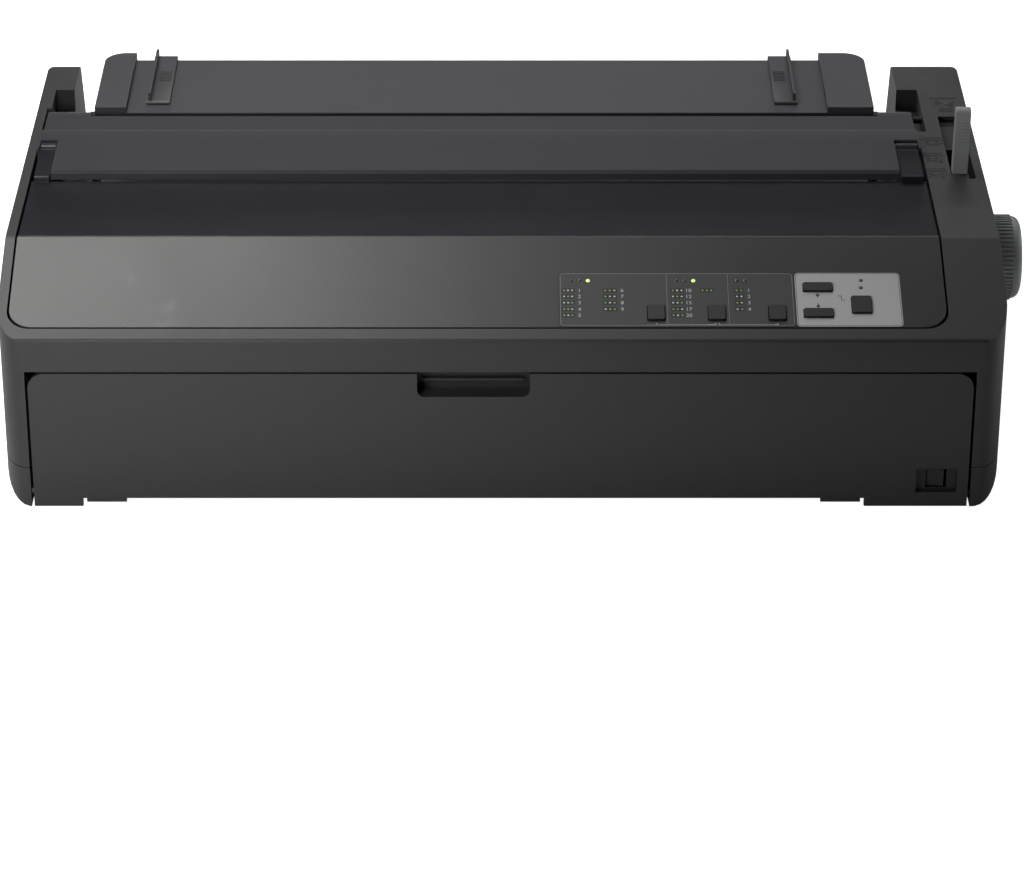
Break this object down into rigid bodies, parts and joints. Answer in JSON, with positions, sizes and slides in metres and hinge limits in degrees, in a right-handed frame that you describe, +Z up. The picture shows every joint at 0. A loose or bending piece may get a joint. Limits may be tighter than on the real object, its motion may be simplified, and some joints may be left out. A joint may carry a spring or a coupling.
{
  "type": "dot matrix printer",
  "caption": "Wide, low office impact printer with a drop-down front cover, tinted lids, a folding paper guide, a side knob and a paper release lever.",
  "frame": {"origin": "middle of the whole printer's outline at table height, knob included", "axes": "+Z up, +X to the right seen from the front, the front face towards -Y"},
  "size_m": [0.5774, 0.35, 0.171],
  "materials": {
    "case_dark": "fine grained moulding",
    "fascia_grey": "fine grained moulding",
    "smoky_cover": "smooth tinted plastic",
    "panel_dark": "printed plate",
    "panel_grey": "printed plate",
    "lens_green": "clear lens",
    "button_black": "smooth",
    "knob_grey": "ribbed moulding",
    "black_plastic": "smooth moulding",
    "inner_plastic": "smooth moulding",
    "gear_plastic": "natural plastic",
    "rubber_black": "ground rubber",
    "steel_plate": "zinc plated sheet",
    "steel_shaft": "ground and plated",
    "motor_metal": "dark enamel",
    "head_metal": "cast, with fins",
    "brass": "turned",
    "board_green": "lacquered circuit board",
    "board_brown": "circuit board",
    "screw_steel": "plated"
  },
  "bodies": {
    "case": {"lower_case": "case_dark", "upper_case": "case_dark", "rear_panel": "case_dark", "front_fascia": "fascia_grey", "dark_panel_plate": "panel_dark", "grey_panel_plate": "panel_grey", "indicator_lenses": "lens_green", "panel_board": "board_green", "switch_housing": "black_plastic", "rubber_feet": "rubber_black", "case_screws": "screw_steel", "power_inlet": "black_plastic", "main_board": "board_green", "power_supply": "board_brown", "chassis": "steel_plate", "left_side_frame": "steel_plate", "right_side_frame": "steel_plate", "platen_bearings": "brass", "carriage_shaft": "steel_shaft", "carriage_rail": "steel_plate", "front_chute": "inner_plastic", "platen_chute": "inner_plastic", "ribbon_cartridge": "black_plastic", "carriage_belt": "rubber_black", "carriage_motor": "motor_metal", "feed_motor": "motor_metal", "feed_belt": "rubber_black", "tractor_support_shaft": "steel_shaft"},
    "front_cover": {"front_cover": "case_dark"},
    "sheet_feeder_cover": {"sheet_feeder_cover": "smoky_cover"},
    "printer_cover": {"printer_cover": "smoky_cover"},
    "paper_guide": {"paper_guide": "fascia_grey"},
    "left_edge_guide": {"left_edge_guide": "fascia_grey"},
    "right_edge_guide": {"right_edge_guide": "fascia_grey"},
    "power_rocker": {"power_rocker": "button_black"},
    "font_button": {"font_button": "button_black"},
    "pitch_button": {"pitch_button": "button_black"},
    "tear_off_button": {"tear_off_button": "button_black"},
    "load_button": {"load_button": "button_black"},
    "feed_button": {"feed_button": "button_black"},
    "pause_button": {"pause_button": "button_black"},
    "platen": {"platen_roller": "rubber_black", "platen_shaft": "steel_shaft", "platen_gear": "gear_plastic", "platen_knob": "knob_grey"},
    "reduction_gear": {"reduction_gear": "gear_plastic"},
    "feed_pinion": {"feed_pinion": "brass"},
    "tractor_drive_shaft": {"tractor_drive_shaft": "steel_shaft"},
    "left_tractor": {"left_tractor": "inner_plastic"},
    "right_tractor": {"right_tractor": "inner_plastic"},
    "left_tractor_door": {"left_tractor_door": "gear_plastic"},
    "right_tractor_door": {"right_tractor_door": "gear_plastic"},
    "left_sprocket": {"left_sprocket": "gear_plastic"},
    "right_sprocket": {"right_sprocket": "gear_plastic"},
    "carriage": {"carriage": "inner_plastic", "print_head": "head_metal"},
    "drive_pulley": {"drive_pulley": "gear_plastic"},
    "idler_pulley": {"idler_pulley": "gear_plastic"},
    "release_lever": {"release_lever": "knob_grey"},
    "pressure_rollers": {"pressure_rollers": "rubber_black"}
  },
  "joints": [
    {"name": "front_cover_hinge", "type": "hinge", "parent": "case", "child": "front_cover", "pos_m": [-0.01375, -0.171, 0.0095], "axis": [1, 0, 0], "range_deg": [0, 85]},
    {"name": "sheet_feeder_cover_hinge", "type": "hinge", "parent": "case", "child": "sheet_feeder_cover", "pos_m": [-0.02625, 0.073, 0.126], "axis": [-1, 0, 0], "range_deg": [0, 65]},
    {"name": "printer_cover_hinge", "type": "hinge", "parent": "sheet_feeder_cover", "child": "printer_cover", "pos_m": [-0.02625, 0.015, 0.1315], "axis": [-1, 0, 0], "range_deg": [0, 100]},
    {"name": "paper_guide_tilt", "type": "hinge", "parent": "case", "child": "paper_guide", "pos_m": [-0.0236, 0.089, 0.119], "axis": [1, 0, 0], "range_deg": [0, 60]},
    {"name": "left_edge_guide_slide", "type": "slide", "parent": "paper_guide", "child": "left_edge_guide", "axis": [1, 0, 0], "range_m": [-0.008, 0.03]},
    {"name": "right_edge_guide_slide", "type": "slide", "parent": "paper_guide", "child": "right_edge_guide", "axis": [1, 0, 0], "range_m": [-0.2, 0.012]},
    {"name": "power_switch_rock", "type": "hinge", "parent": "case", "child": "power_rocker", "pos_m": [0.22675, -0.1673, 0.01765], "axis": [0, 0, 1], "range_deg": [0, 16]},
    {"name": "font_press", "type": "slide", "parent": "case", "child": "font_button", "axis": [0, 0.3387, -0.9409], "range_m": [0, 0.0008], "stiffness_N_per_m": 400, "springref_m": -0.0004},
    {"name": "pitch_press", "type": "slide", "parent": "case", "child": "pitch_button", "axis": [0, 0.3387, -0.9409], "range_m": [0, 0.0008], "stiffness_N_per_m": 400, "springref_m": -0.0004},
    {"name": "tear_off_press", "type": "slide", "parent": "case", "child": "tear_off_button", "axis": [0, 0.3387, -0.9409], "range_m": [0, 0.0008], "stiffness_N_per_m": 400, "springref_m": -0.0004},
    {"name": "load_press", "type": "slide", "parent": "case", "child": "load_button", "axis": [0, 0.3387, -0.9409], "range_m": [0, 0.0008], "stiffness_N_per_m": 400, "springref_m": -0.0004},
    {"name": "feed_press", "type": "slide", "parent": "case", "child": "feed_button", "axis": [0, 0.3387, -0.9409], "range_m": [0, 0.0008], "stiffness_N_per_m": 400, "springref_m": -0.0004},
    {"name": "pause_press", "type": "slide", "parent": "case", "child": "pause_button", "axis": [0, 0.3387, -0.9409], "range_m": [0, 0.0008], "stiffness_N_per_m": 400, "springref_m": -0.0004},
    {"name": "platen_turn", "type": "hinge", "parent": "case", "child": "platen", "pos_m": [-0.01275, 0.002, 0.07], "axis": [1, 0, 0], "continuous": true},
    {"name": "reduction_gear_turn", "type": "hinge", "parent": "case", "child": "reduction_gear", "pos_m": [0.22925, -0.01158, 0.04649], "axis": [1, 0, 0], "continuous": true},
    {"name": "feed_pinion_turn", "type": "hinge", "parent": "case", "child": "feed_pinion", "pos_m": [0.22425, 0.01112, 0.03823], "axis": [1, 0, 0], "continuous": true},
    {"name": "tractor_shaft_turn", "type": "hinge", "parent": "case", "child": "tractor_drive_shaft", "pos_m": [-0.01275, -0.135, 0.056], "axis": [1, 0, 0], "continuous": true},
    {"name": "left_tractor_slide", "type": "slide", "parent": "case", "child": "left_tractor", "axis": [1, 0, 0], "range_m": [-0.01, 0.03]},
    {"name": "right_tractor_slide", "type": "slide", "parent": "case", "child": "right_tractor", "axis": [1, 0, 0], "range_m": [-0.24, 0.01]},
    {"name": "left_tractor_door_hinge", "type": "hinge", "parent": "left_tractor", "child": "left_tractor_door", "pos_m": [-0.224, -0.135, 0.07113], "axis": [0, -1, 0], "range_deg": [0, 110]},
    {"name": "right_tractor_door_hinge", "type": "hinge", "parent": "right_tractor", "child": "right_tractor_door", "pos_m": [0.1671, -0.135, 0.07113], "axis": [0, 1, 0], "range_deg": [0, 110]},
    {"name": "left_sprocket_turn", "type": "hinge", "parent": "left_tractor", "child": "left_sprocket", "pos_m": [-0.211, -0.135, 0.056], "axis": [1, 0, 0], "continuous": true},
    {"name": "right_sprocket_turn", "type": "hinge", "parent": "right_tractor", "child": "right_sprocket", "pos_m": [0.1541, -0.135, 0.056], "axis": [1, 0, 0], "continuous": true},
    {"name": "carriage_slide", "type": "slide", "parent": "case", "child": "carriage", "axis": [1, 0, 0], "range_m": [0, 0.38]},
    {"name": "drive_pulley_turn", "type": "hinge", "parent": "case", "child": "drive_pulley", "pos_m": [0.19625, -0.071, 0.0475], "axis": [0, 0, 1], "continuous": true},
    {"name": "idler_pulley_turn", "type": "hinge", "parent": "case", "child": "idler_pulley", "pos_m": [-0.25775, -0.071, 0.0475], "axis": [0, 0, 1], "continuous": true},
    {"name": "release_lever_turn", "type": "hinge", "parent": "case", "child": "release_lever", "pos_m": [0.24925, 0.037, 0.08], "axis": [-1, 0, 0], "range_deg": [0, 38]},
    {"name": "pressure_rollers_lower", "type": "hinge", "parent": "case", "child": "pressure_rollers", "pos_m": [-0.02775, 0.048, 0.043], "axis": [1, 0, 0], "range_deg": [0, 6]}
  ],
  "couplings": [
    {"joint": "reduction_gear_turn", "follows": "platen_turn", "ratio": -2.8571},
    {"joint": "feed_pinion_turn", "follows": "platen_turn", "ratio": 8.5714},
    {"joint": "tractor_shaft_turn", "follows": "platen_turn", "ratio": 1.4},
    {"joint": "left_sprocket_turn", "follows": "platen_turn", "ratio": 1.4},
    {"joint": "right_sprocket_turn", "follows": "platen_turn", "ratio": 1.4},
    {"joint": "drive_pulley_turn", "follows": "carriage_slide", "rad_per_m": -128.21},
    {"joint": "idler_pulley_turn", "follows": "carriage_slide", "rad_per_m": -128.21},
    {"joint": "pressure_rollers_lower", "follows": "release_lever_turn", "ratio": 0.13}
  ]
}
